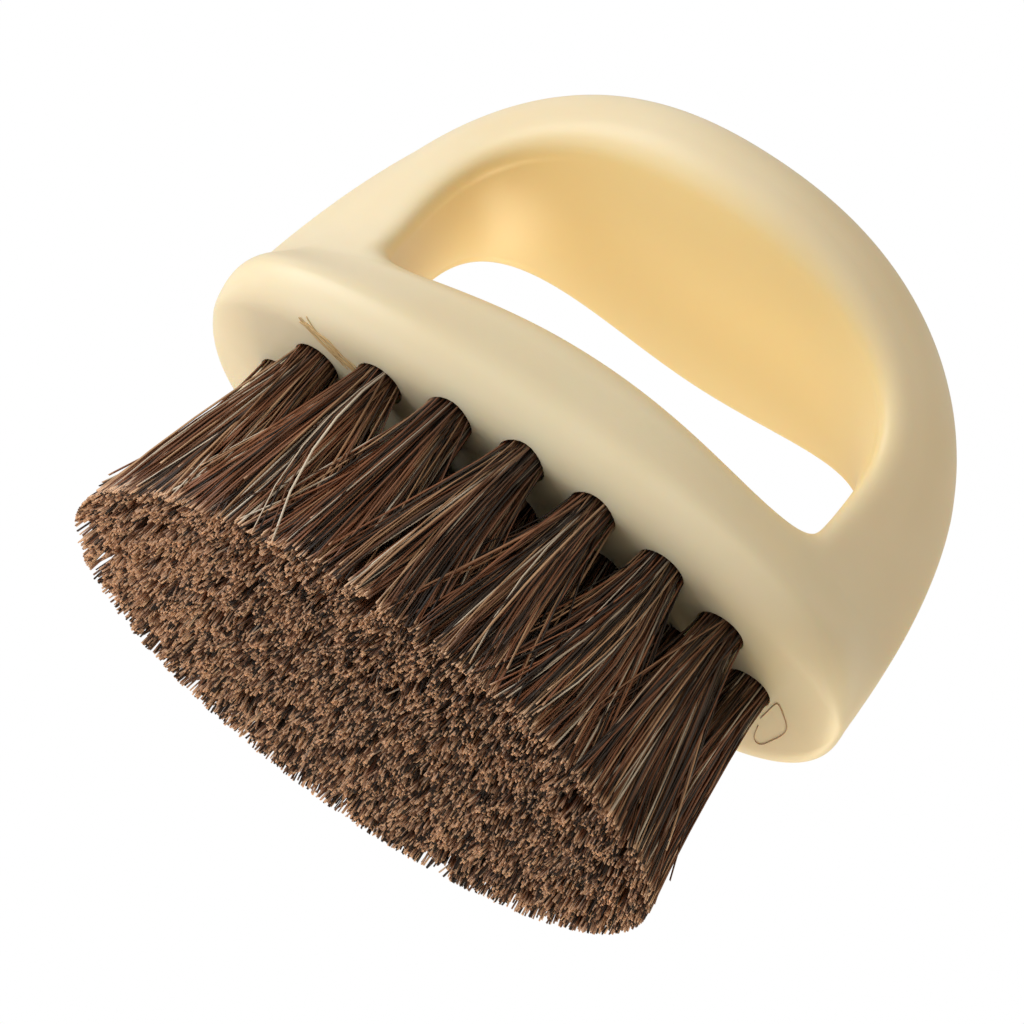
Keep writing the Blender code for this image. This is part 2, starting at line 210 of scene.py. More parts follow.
@dataclass(frozen=True)
class CreamPlastic:
    """Warm cream moulded plastic, slightly see-through, with a satin surface and faint flow marks."""

    roughness: float = 0.38
    refraction: float = 1.49
    gloss: float = 0.4
    glow_depth: float = 0.006
    glow_share: float = 0.25
    glow_reach: tuple[float, float, float] = (1.0, 0.55, 0.25)
    painted_glow_share: float = 0.8
    cloud_scale: float = 45.0
    cloud_share: float = 0.35
    cloud_roughness: float = 0.10
    flow_scale: tuple[float, float, float] = (40.0, 160.0, 160.0)
    flow_share: float = 0.10
    grain_scale: float = 2600.0
    grain_roughness: float = 0.06
    grain_height: float = 0.35
    relief: float = 0.00004
    relief_strength: float = 0.5

    def build(self) -> bpy.types.Material:
        """Cream that deepens in slow clouds, and turns to a painted honey glow on the finger hole's inner
        face, standing in for warm light bounced inside the hole.
        """
        graph = Graph("cream_plastic_finish")
        place = graph.place()
        clouds = graph.noise(place, self.cloud_scale, 3.0, 0.45)
        flow = graph.noise(graph.stretched(place, self.flow_scale), 1.0)
        grain = graph.noise(place, self.grain_scale, 2.0, 0.6)
        inside = graph.attribute("inside")
        deep = clouds.ramp(0.35, 0.75) * self.cloud_share + flow.ramp(0.4, 0.8) * self.flow_share
        cream = graph.mixed(deep, Tint.CREAM.value, Tint.CREAM_DEEP.value)
        # Painted glow: the hole's inner face is mixed toward honey, standing in for warm light bounced
        # inside the hole.
        colour = graph.mixed(inside * self.painted_glow_share, cream, Tint.PAINTED_GLOW_HONEY.value)
        least = self.roughness - (self.cloud_roughness + self.grain_roughness) / 2
        rough = clouds * self.cloud_roughness + grain * self.grain_roughness + least
        normal = graph.bump(grain * self.grain_height + flow, self.relief, self.relief_strength)
        constants = {
            "Subsurface Weight": self.glow_share,
            "Subsurface Radius": self.glow_reach,
            "Subsurface Scale": self.glow_depth,
            "IOR": self.refraction,
            "Specular IOR Level": self.gloss,
        }
        return graph.finish(constants, Base_Color=colour, Roughness=rough, Normal=normal)


@dataclass(frozen=True)
class BrownHair:
    """Brown horsehair: each hair has its own tone, a root darkened with painted shade and a pale cut end."""

    name: str
    warmth: float = 0.5
    pale: Tint = Tint.ASH
    roughness: float = 0.42
    refraction: float = 1.55
    gloss: float = 0.45
    painted_root_shade: float = 0.45
    streak_scale: tuple[float, float, float] = (900.0, 900.0, 120.0)
    streak_shade: float = 0.20
    streak_roughness: float = 0.20

    def build(self) -> bpy.types.Material:
        """Tones from soot over chestnut, auburn and tan to the palest, by the mesh's tone and run values."""
        graph = Graph(self.name)
        tone = graph.attribute("tone")
        run = graph.attribute("run")
        streak = graph.noise(graph.stretched(graph.place(), self.streak_scale), 1.0, 2.0, 0.6)
        dark = graph.mixed(tone.ramp(0.00, 0.35), Tint.SOOT_BROWN.value, Tint.DARK_BROWN.value)
        brown = graph.mixed(tone.ramp(0.30, 0.40), dark, Tint.CHESTNUT.value)
        red = graph.mixed(tone.ramp(0.50, 0.60) * (0.6 + 0.5 * self.warmth), brown, Tint.AUBURN.value)
        light = graph.mixed(tone.ramp(0.74, 0.82), red, Tint.TAN.value)
        pale = graph.mixed(tone.ramp(0.91, 0.96), light, self.pale.value)
        cut = run.ramp(0.955, 0.995) * tone.ramp(0.38, 0.80)
        ends = graph.mixed(cut, pale, Tint.STRAW.value)
        # Painted shade: hairs darken toward the root, standing in for the shadow deep inside the tuft; the
        # noise streaks are the hair's own darker marks.
        root = (1.0 - run.ramp(0.0, 0.45)) * self.painted_root_shade
        painted_root_shade_and_streaks = root + streak.ramp(0.45, 0.8) * self.streak_shade
        colour = graph.mixed(painted_root_shade_and_streaks, ends, Tint.SOOT_BROWN.value)
        rough = streak * self.streak_roughness + (self.roughness - self.streak_roughness / 2)
        constants = {"Specular IOR Level": self.gloss, "IOR": self.refraction}
        return graph.finish(constants, Base_Color=colour, Roughness=rough)


@dataclass(frozen=True)
class DrawnSteel:
    """Bright flat wire with draw marks along its length."""

    least_roughness: float = 0.20
    mark_scale: tuple[float, float, float] = (300.0, 9000.0, 9000.0)
    mark_share: float = 0.7
    mark_roughness: float = 0.18
    dull_scale: float = 900.0
    dull_roughness: float = 0.10
    relief: float = 0.00001
    relief_strength: float = 0.4

    def build(self) -> bpy.types.Material:
        """Steel with darker streaks that run along X, the wire's length."""
        graph = Graph("staple_steel_finish")
        place = graph.place()
        marks = graph.noise(graph.stretched(place, self.mark_scale), 1.0, 3.0, 0.6)
        dull = graph.noise(place, self.dull_scale)
        streaks = marks.ramp(0.40, 0.80) * self.mark_share
        colour = graph.mixed(streaks, Tint.STEEL.value, Tint.STEEL_DARK.value)
        rough = marks * self.mark_roughness + dull * self.dull_roughness + self.least_roughness
        normal = graph.bump(marks, self.relief, self.relief_strength)
        return graph.finish({"Metallic": 1.0}, Base_Color=colour, Roughness=rough, Normal=normal)


@dataclass(frozen=True)
class PaleFloor:
    """Matt studio paper, seen from above only: from below the sheet lets the view through."""

    roughness: float = 0.9
    gloss: float = 0.1
    mottle_scale: float = 30.0
    mottle_share: float = 0.4

    def build(self) -> bpy.types.Material:
        """Pale paper with a faint mottle, mixed to clear on its underside."""
        graph = Graph("pale_floor")
        mottle = graph.noise(graph.place(), self.mottle_scale, 3.0).ramp(0.3, 0.7)
        colour = graph.mixed(mottle * self.mottle_share, Tint.PAPER.value, Tint.PAPER_SHADE.value)
        constants = {"Roughness": self.roughness, "Specular IOR Level": self.gloss}
        material = graph.finish(constants, Base_Color=colour)
        below = graph.add("ShaderNodeNewGeometry", {}, {}, "Backfacing")
        clear = graph.add("ShaderNodeBsdfTransparent", {}, {})
        paper = Socket(graph, graph.shader.outputs[0])
        shown = graph.add("ShaderNodeMixShader", {}, {0: below, 1: paper, 2: clear})
        graph.feed(graph.output.inputs["Surface"], shown)
        return material


def smooth_step(low: "float | np.ndarray", high: "float | np.ndarray", value: np.ndarray) -> np.ndarray:
    """0 below low, 1 above high, and 3s^2 - 2s^3 between them."""
    share = np.clip((value - low) / (high - low), 0.0, 1.0)
    return share * share * (3.0 - 2.0 * share)


def superellipse(turn: np.ndarray, power: np.ndarray) -> tuple[np.ndarray, np.ndarray]:
    """The unit superellipse: each of cosine and sine raised to 2/power, with its sign kept."""
    across, up = np.cos(turn), np.sin(turn)
    exponent = 2.0 / power
    return np.sign(across) * np.abs(across) ** exponent, np.sign(up) * np.abs(up) ** exponent


def mesh_from(name: str, points: np.ndarray, faces: np.ndarray) -> bpy.types.Mesh:
    """A mesh from whole arrays.

    Args:
        name: The mesh's name.
        points: Vertex places, shape (n, 3).
        faces: Vertex numbers of the faces, shape (m, corners).

    Returns:
        The mesh, smooth shaded.
    """
    mesh = bpy.data.meshes.new(name)
    count, corners = faces.shape
    mesh.vertices.add(len(points))
    mesh.vertices.foreach_set("co", points.astype(np.float32).ravel())
    mesh.loops.add(count * corners)
    mesh.loops.foreach_set("vertex_index", faces.astype(np.int32).ravel())
    mesh.polygons.add(count)
    mesh.polygons.foreach_set("loop_start", (np.arange(count) * corners).astype(np.int32))
    mesh.polygons.foreach_set("use_smooth", np.ones(count, dtype=bool))
    mesh.update(calc_edges=True)
    mesh.validate()
    return mesh


def keep_number(mesh: bpy.types.Mesh, name: str, values: np.ndarray) -> None:
    """Keeps a number for each vertex, which a material reads by name."""
    attribute = mesh.attributes.new(name, "FLOAT", "POINT")
    attribute.data.foreach_set("value", values.astype(np.float32).ravel())


def grid_faces(rows: int, columns: int, wrap_rows: bool, wrap_columns: bool) -> np.ndarray:
    """Quads of a grid of vertices numbered row by row.

    Args:
        rows: Number of rows.
        columns: Number of columns.
        wrap_rows: Whether the last row joins the first.
        wrap_columns: Whether the last column joins the first.

    Returns:
        Vertex numbers, shape (quads, 4).
    """
    row = np.arange(rows if wrap_rows else rows - 1)[:, None]
    column = np.arange(columns if wrap_columns else columns - 1)[None, :]
    next_row, next_column = (row + 1) % rows, (column + 1) % columns
    here, there = row * columns, next_row * columns
    corners = (here + column, there + column, there + next_column, here + next_column)
    return np.stack(np.broadcast_arrays(*corners), axis=-1).reshape(-1, 4)


def tube_mesh(
    name: str,
    middles: np.ndarray,
    across: np.ndarray,
    upward: np.ndarray,
    radius: np.ndarray,
    turn: np.ndarray,
    sides: int = 3,
) -> bpy.types.Mesh:
    """Thin closed tubes, one along each row of middle points.

    A corner of a ring is the middle plus the radius times (cosine of its angle times the across axis plus
    sine of its angle times the upward axis). Across times upward points against the tube's run.

    Args:
        name: The mesh's name.
        middles: Middle points, shape (tubes, rings, 3).
        across: First axis of each ring's plane, shape that spreads to (tubes, rings, 3).
        upward: Second axis of each ring's plane, likewise.
        radius: Radius of each ring, shape (tubes, rings).
        turn: The first corner's angle of each tube, shape (tubes,).
        sides: Corners of a ring.

    Returns:
        The mesh.
    """
    count, rings = middles.shape[:2]
    angle = turn[:, None, None, None] + (np.arange(sides) * 2 * np.pi / sides)[:, None]
    across, upward = np.expand_dims(across, -2), np.expand_dims(upward, -2)
    offset = np.cos(angle) * across + np.sin(angle) * upward
    points = middles[:, :, None] + offset * radius[..., None, None]
    first = (np.arange(count) * rings * sides)[:, None, None]
    quads = (grid_faces(rings, sides, False, True)[None, :, ::-1] + first).reshape(-1, 4)
    low = (first + (rings - 1) * sides + np.arange(sides)).reshape(-1, sides)
    high = (first + np.arange(sides)[::-1]).reshape(-1, sides)
    walls = np.concatenate([quads[:, :3], quads[:, [0, 2, 3]]])
    mesh = mesh_from(name, points.reshape(-1, 3), np.concatenate([walls, low, high]))
    flat = np.repeat([False, True], [len(walls), len(low) + len(high)])
    mesh.attributes.new("sharp_face", "BOOLEAN", "FACE").data.foreach_set("value", flat)
    return mesh


def show(name: str, mesh: bpy.types.Mesh, material: bpy.types.Material) -> bpy.types.Object:
    """An object at the origin that shows a mesh in a material."""
    piece = bpy.data.objects.new(name, mesh)
    bpy.context.scene.collection.objects.link(piece)
    mesh.materials.clear()
    mesh.materials.append(material)
    return piece


@dataclass
class MouldedHandle:
    """The one-piece moulding: an oval head and the D-shaped finger loop above it."""

    head_length: float = 0.0822
    head_width: float = 0.0442
    head_top_width: float = 0.0373
    head_lean_power: float = 1.2
    head_thickness: float = 0.0141
    head_end_drop: float = 0.0028
    head_blunt_end: float = 0.0004
    head_oval_power: float = 2.8
    head_top_oval_power: float = 2.15
    head_end_power: float = 4.0
    widest_above_underside: float = 0.0035
    loop_height: float = 0.0457
    loop_end_inset: float = 0.0014
    loop_top_wall: float = 0.0091
    loop_side_wall: float = 0.0121
    loop_foot_width: float = 0.0415
    loop_top_width: float = 0.042
    loop_outline_power: float = 3.02
    loop_taper_power: float = 1.11
    hole_arch_power: float = 3.4
    hole_floor_power: float = 3.5
    hole_crown: float = 0.0012
    hole_widest_above_head: float = 0.0031
    shoulder_height: float = 0.0149
    rim_depth: float = 0.0085
    head_bottom_round: float = 0.0062
    head_top_round: float = 0.0037
    loop_outer_round: float = 0.0096
    loop_inner_round: float = 0.0041
    round_limit_share: float = 0.92
    underside: float = 0.0273
    tuft_hole_diameter: float = 0.0058
    tuft_hole_depth: float = 0.0095
    overrun: float = 0.0020
    stations: int = 420
    face_points: int = 22
    corner_points: int = 14
    side_points: int = 14
    outline_samples: int = 6000
    drill_sides: int = 24
    sharp_degrees: float = 50.0

    @property
    def head_top_z(self) -> float:
        """Height of the head's top in its middle."""
        return self.underside + self.head_thickness

    @property
    def widest_z(self) -> float:
        """Height at which the head is longest and widest."""
        return self.underside + self.widest_above_underside

    @property
    def top_z(self) -> float:
        """Height of the loop's top."""
        return self.underside + self.loop_height

    @property
    def hole_half_length(self) -> float:
        """Half the finger hole's length."""
        return self.head_length / 2 - self.loop_end_inset - self.loop_side_wall

    def outer_line(self, turn: np.ndarray) -> tuple[np.ndarray, np.ndarray]:
        """Outer line of the front view: one superellipse above the widest height and another below it."""
        above = np.sin(turn) >= 0
        across, up = superellipse(turn, np.where(above, self.loop_outline_power, self.head_end_power))
        z = self.widest_z + up * np.where(above, self.top_z - self.widest_z, self.widest_z - self.underside)
        shoulder = smooth_step(self.widest_z, self.head_top_z + self.shoulder_height, z)
        return across * (self.head_length / 2 - self.loop_end_inset * shoulder), z

    def hole_line(self, turn: np.ndarray) -> tuple[np.ndarray, np.ndarray]:
        """Inner line of the front view: an arch above, and the head's crowned top below."""
        above = np.sin(turn) >= 0
        across, up = superellipse(turn, np.where(above, self.hole_arch_power, self.hole_floor_power))
        widest = self.head_top_z + self.hole_widest_above_head
        arch = self.top_z - self.loop_top_wall - widest
        z = widest + up * np.where(above, arch, self.hole_widest_above_head)
        return across * self.hole_half_length, z - self.crown_fall(across) * np.clip(-up, 0.0, 1.0)

    def crown_fall(self, share: np.ndarray) -> np.ndarray:
        """Fall of the head's top: the end drop times tanh of the squared share of the hole's half."""
        return self.head_end_drop * np.tanh(share**2)

    def head_top(self, x: np.ndarray) -> np.ndarray:
        """Height of the head's crowned top at a place along the head."""
        return self.head_top_z - self.crown_fall(x / self.hole_half_length)

    def oval_share(
        self, x: np.ndarray, power: "np.ndarray | float", taper: "np.ndarray | float"
    ) -> np.ndarray:
        """Width in plan as a share of the middle width: (1 - s^power)^taper, s the share of the length."""
        share = np.clip(np.abs(x) / (self.head_length / 2 + self.head_blunt_end), 0.0, 1.0)
        return (1.0 - share**power) ** taper

    def half_width(self, x: np.ndarray, z: np.ndarray) -> np.ndarray:
        """Half the width in Y: the head's leaning oval below, blended into the loop's lens-shaped band."""
        top = self.head_top(x)
        lean = np.clip((z - self.widest_z) / (top - self.widest_z), 0.0, 1.0) ** self.head_lean_power
        power = self.head_oval_power + (self.head_top_oval_power - self.head_oval_power) * lean
        width = self.head_width + (self.head_top_width - self.head_width) * lean
        head = width * self.oval_share(x, power, 1.0 / power)
        climb = np.clip((z - top) / (self.top_z - top), 0.0, 1.0)
        band = self.loop_foot_width + (self.loop_top_width - self.loop_foot_width) * climb
        loop = band * self.oval_share(x, 2.0, self.loop_taper_power)
        shoulder = smooth_step(top - self.rim_depth, top + self.shoulder_height / 2, z)
        return (head + (loop - head) * shoulder) / 2

    def even_turns(self) -> np.ndarray:
        """Angles that space the sections evenly along the moulding's middle line."""
        turns = np.linspace(0.0, 2 * np.pi, self.outline_samples)
        outer, inner = self.outer_line(turns), self.hole_line(turns)
        steps = np.hypot(np.diff(outer[0] + inner[0]), np.diff(outer[1] + inner[1]))
        run = np.concatenate([[0.0], np.cumsum(steps)])
        return np.interp(np.arange(self.stations) / self.stations * run[-1], run, turns)

    def surface(self) -> tuple[np.ndarray, np.ndarray]:
        """The moulding's surface as a grid that closes both ways.

        Each section is a rounded rectangle between the outer line and the finger hole. Along it, a runs
        from 1 on the outer line to -1 on the inner line and the rounded edges follow quarter circles. On the
        loop's inner face a sinks below -1 by the crown times one minus the squared place across the face.

        Returns:
            Points, shape (stations, ring, 3), and the share of painted glow on the hole's inner face,
            (stations, ring).
        """
        turns = self.even_turns()
        outer, inner = np.stack(self.outer_line(turns)), np.stack(self.hole_line(turns))
        middle, reach = (outer + inner) / 2, (outer - inner) / 2
        half = np.hypot(*reach)
        rise = smooth_step(self.underside, self.head_top_z, outer[1])
        loop_share = smooth_step(self.head_top(inner[0]), self.head_top_z + self.shoulder_height, inner[1])
        limit = half * self.round_limit_share
        outer_change = (self.loop_outer_round - self.head_bottom_round) * rise
        inner_change = (self.loop_inner_round - self.head_top_round) * loop_share
        outer_round = np.minimum(self.head_bottom_round + outer_change, limit)
        inner_round = np.minimum(self.head_top_round + inner_change, limit)
        crown = self.hole_crown * loop_share / half
        faces = np.linspace(0.0, 1.0, self.face_points)
        angles = np.linspace(0.0, np.pi / 2, self.corner_points + 1)[1:]
        sides = np.linspace(0.0, 1.0, self.side_points + 1)[1:-1]
        along, inset, flat, edge, painted_glow = [], [], [], [], []

        def strip(a: np.ndarray, i: np.ndarray, f: np.ndarray, e: np.ndarray, s: np.ndarray) -> None:
            """Adds columns: place along the section, inset share, place across, edge radius and painted glow
            share.
            """
            shape = (len(turns), max(v.shape[-1] for v in (a, i, f, s)))
            for kept, value in zip((along, inset, flat, edge, painted_glow), (a, i, f, e, s)):
                kept.append(np.broadcast_to(value, shape))

        one, nought = np.ones((len(turns), 1)), np.zeros((1, 1))
        first, last = 1 - outer_round / half, inner_round / half - 1
        strip(one, one, faces[None], outer_round[:, None], nought)
        curve = 1 - (outer_round / half)[:, None] * (1 - np.cos(angles))
        strip(curve, (1 - np.sin(angles))[None], one, outer_round[:, None], nought)
        strip(first[:, None] + (last - first)[:, None] * sides, nought, one, outer_round[:, None], nought)
        back = angles[::-1]
        curve = -1 + (inner_round / half)[:, None] * (1 - np.cos(back))
        # Share of painted glow, fading out round the inner corner into the hole.
        painted_glow_corner = loop_share[:, None] * np.cos(back) ** 2
        strip(curve, (1 - np.sin(back))[None], one, inner_round[:, None], painted_glow_corner)
        inward = faces[::-1]
        swell = -1 - crown[:, None] * (1 - inward**2)
        strip(swell, one, inward[None], inner_round[:, None], loop_share[:, None])
        a, i, f, e, s = (np.concatenate(v, axis=1) for v in (along, inset, flat, edge, painted_glow))
        x = middle[0][:, None] + reach[0][:, None] * a
        z = middle[1][:, None] + reach[1][:, None] * a
        width = self.half_width(x, z)
        y = -(width - i * np.minimum(e, width * self.round_limit_share)) * f
        front = np.stack([x, y, z], axis=-1)
        rear = front[:, -2:0:-1] * np.array([1.0, -1.0, 1.0])
        return np.concatenate([front, rear], axis=1), np.concatenate([s, s[:, -2:0:-1]], axis=1)

    def drill(self, piece: bpy.types.Object, roots: list[tuple[float, float]]) -> None:
        """Cuts a round blind hole in the underside for each tuft.

        Args:
            piece: The moulding.
            roots: Centres of the holes in X and Y.
        """
        sides = self.drill_sides
        turn = np.linspace(0.0, 2 * np.pi, sides, endpoint=False)
        ring = np.stack([np.cos(turn), np.sin(turn)], axis=-1) * self.tuft_hole_diameter / 2
        heights = (self.underside - self.overrun, self.underside + self.tuft_hole_depth)
        points, quads, caps = [], [], []
        for number, root in enumerate(roots):
            first = number * 2 * sides
            points += [np.column_stack([ring + root, np.full(sides, z)]) for z in heights]
            quads += (grid_faces(2, sides, False, True)[:, ::-1] + first).tolist()
            caps.append(list(range(first, first + sides))[::-1])
            caps.append(list(range(first + sides, first + 2 * sides)))
        drill = bpy.data.meshes.new("drill")
        drill.from_pydata(np.concatenate(points).tolist(), [], quads + caps)
        cutter = bpy.data.objects.new("drill", drill)
        bpy.context.scene.collection.objects.link(cutter)
        modifier = piece.modifiers.new("holes", "BOOLEAN")
        modifier.operation, modifier.solver, modifier.object = "DIFFERENCE", "EXACT", cutter
        ready = piece.evaluated_get(bpy.context.evaluated_depsgraph_get())
        drilled = bpy.data.meshes.new_from_object(ready)
        piece.modifiers.clear()
        piece.data = drilled
        bpy.data.objects.remove(cutter)

    def build(self, finish: CreamPlastic, roots: list[tuple[float, float]]) -> bpy.types.Object:
        """Builds the moulding in its finish, with its holes drilled.

        Args:
            finish: The plastic.
            roots: Centres of the tuft holes in X and Y.

        Returns:
            The finished piece, which rides and stands for the CAD handle.
        """
        points, painted_glow = self.surface()
        rows, columns = points.shape[:2]
        faces = grid_faces(rows, columns, True, True)
        mesh = mesh_from("moulded_handle", points.reshape(-1, 3), faces[:, ::-1])
        # The painted glow share, read by the plastic's honey mix.
        keep_number(mesh, "inside", painted_glow)
        piece = show("moulded_handle", mesh, finish.build())
        self.drill(piece, roots)
        piece.data.set_sharp_from_angle(angle=math.radians(self.sharp_degrees))
        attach(piece, "root")
        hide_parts("handle")
        return piece


@dataclass
class HairBundle:
    """One tuft: hairs packed in the hole, folded over the staple, that fan out to their cut ends."""

    name: str
    root: tuple[float, float]
    ends: np.ndarray
    trim: np.ndarray
    seed: int
    fold_z: float = 0.0362
    mouth_z: float = 0.0275
    packed_radius: float = 0.0027
    packed_quantile: float = 0.95
    order_share: float = 0.6
    painted_left_light: float = 0.50
    fold_gap: float = 0.0004
    thickness: tuple[float, float] = (0.000180, 0.000320)
    end_taper: float = 0.05
    splay_power: float = 1.30
    wisps: int = 30
    wisp_pull: float = 0.20
    wisp_lean: float = 0.0008
    bow: float = 0.0005
    trim_spread: float = 0.00055
    short_share: float = 0.04
    short_by: float = 0.005
    levels: tuple[float, ...] = (0.0, 0.14, 0.32, 0.52, 0.75, 1.0)

    def paths(self, rng: np.random.Generator) -> tuple[np.ndarray, np.ndarray]:
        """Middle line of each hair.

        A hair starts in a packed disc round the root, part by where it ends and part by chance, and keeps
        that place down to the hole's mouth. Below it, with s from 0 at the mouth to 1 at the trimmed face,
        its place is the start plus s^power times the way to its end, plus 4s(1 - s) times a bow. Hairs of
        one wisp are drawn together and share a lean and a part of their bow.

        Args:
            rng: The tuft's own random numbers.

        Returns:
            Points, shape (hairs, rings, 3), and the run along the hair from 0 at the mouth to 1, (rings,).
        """
        count = len(self.ends)
        middle = self.ends.mean(axis=0)
        spread = np.quantile(np.hypot(*(self.ends - middle).T), self.packed_quantile)
        away = (self.ends - middle) / spread
        angle, share = rng.uniform(0.0, 2 * np.pi, count), np.sqrt(rng.uniform(0.0, 1.0, count))
        chance = np.stack([np.cos(angle), np.sin(angle)], axis=-1) * share[:, None]
        disc = away * self.order_share + chance * (1.0 - self.order_share)
        disc /= np.maximum(np.hypot(*disc.T), 1.0)[:, None]
        start = np.array(self.root) + disc * self.packed_radius
        wisp = self.ends[rng.choice(count, self.wisps, replace=False)]
        nearest = np.argmin(((self.ends[:, None] - wisp[None]) ** 2).sum(-1), axis=1)
        pull = self.wisp_pull * rng.uniform(0.1, 1.0, count)[:, None]
        lean = rng.normal(0.0, self.wisp_lean, (self.wisps, 2))[nearest]
        end = self.ends + (wisp[nearest] - self.ends) * pull + lean
        end /= np.maximum(np.hypot(*(end / self.trim).T), 1.0)[:, None]
        wisp_bow = rng.normal(0.0, self.bow, (self.wisps, 2))[nearest]
        bow = wisp_bow + rng.normal(0.0, self.bow / 2, (count, 2))
        down = np.array(self.levels)
        curve = (4.0 * down * (1.0 - down))[None, :, None]
        flat = start[:, None] + (end - start)[:, None] * (down**self.splay_power)[None, :, None]
        short = rng.uniform(0.0, 1.0, count) < self.short_share
        stop = np.abs(rng.normal(0.0, self.trim_spread, count))
        stop += short * rng.uniform(0.0, self.short_by, count)
        z = self.mouth_z + (stop - self.mouth_z)[:, None] * down[None]
        below = np.concatenate([flat + curve * bow[:, None], z[..., None]], axis=-1)
        apart = np.sign(disc[:, 1:]) * np.maximum(np.abs(disc[:, 1:]) * self.packed_radius, self.fold_gap)
        fold = np.column_stack([start[:, :1], self.root[1] + apart, np.full(count, self.fold_z)])
        return np.concatenate([fold[:, None], below], axis=1), np.concatenate([[0.0], down])

    def build(self, material: bpy.types.Material, slot: str) -> bpy.types.Object:
        """Builds the tuft as thin closed tubes with level rings, one a hair.

        Args:
            material: The hair finish.
            slot: The record's material slot; not used.

        Returns:
            The finished piece, which rides and stands for the CAD tuft.
        """
        rng = np.random.default_rng(self.seed)
        middles, run = self.paths(rng)
        count, rings = middles.shape[:2]
        radius = rng.uniform(*self.thickness, count)[:, None] / 2 * (1.0 - self.end_taper * run)[None]
        turn = rng.uniform(0.0, 2 * np.pi, count)
        level = np.eye(3)[:2, None, None]
        mesh = tube_mesh(f"hair_{self.name}", middles, level[0], level[1], radius, turn)
        corners = len(mesh.vertices) // (count * rings)
        # Painted light: tufts toward the -X end draw lighter tones, standing in for the key light from that
        # side; otherwise the tones differ at random.
        leftward = np.clip(-self.root[0] / self.trim[0], 0.0, 1.0)
        tone = rng.uniform(0.0, 1.0, count) ** (1.0 - self.painted_left_light * leftward)
        keep_number(mesh, "tone", np.repeat(tone, rings * corners))
        keep_number(mesh, "run", np.tile(np.repeat(run, corners), count))
        piece = show(f"hair_{self.name}", mesh, material)
        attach(piece, "root")
        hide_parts(f"tuft_{self.name}")
        return piece


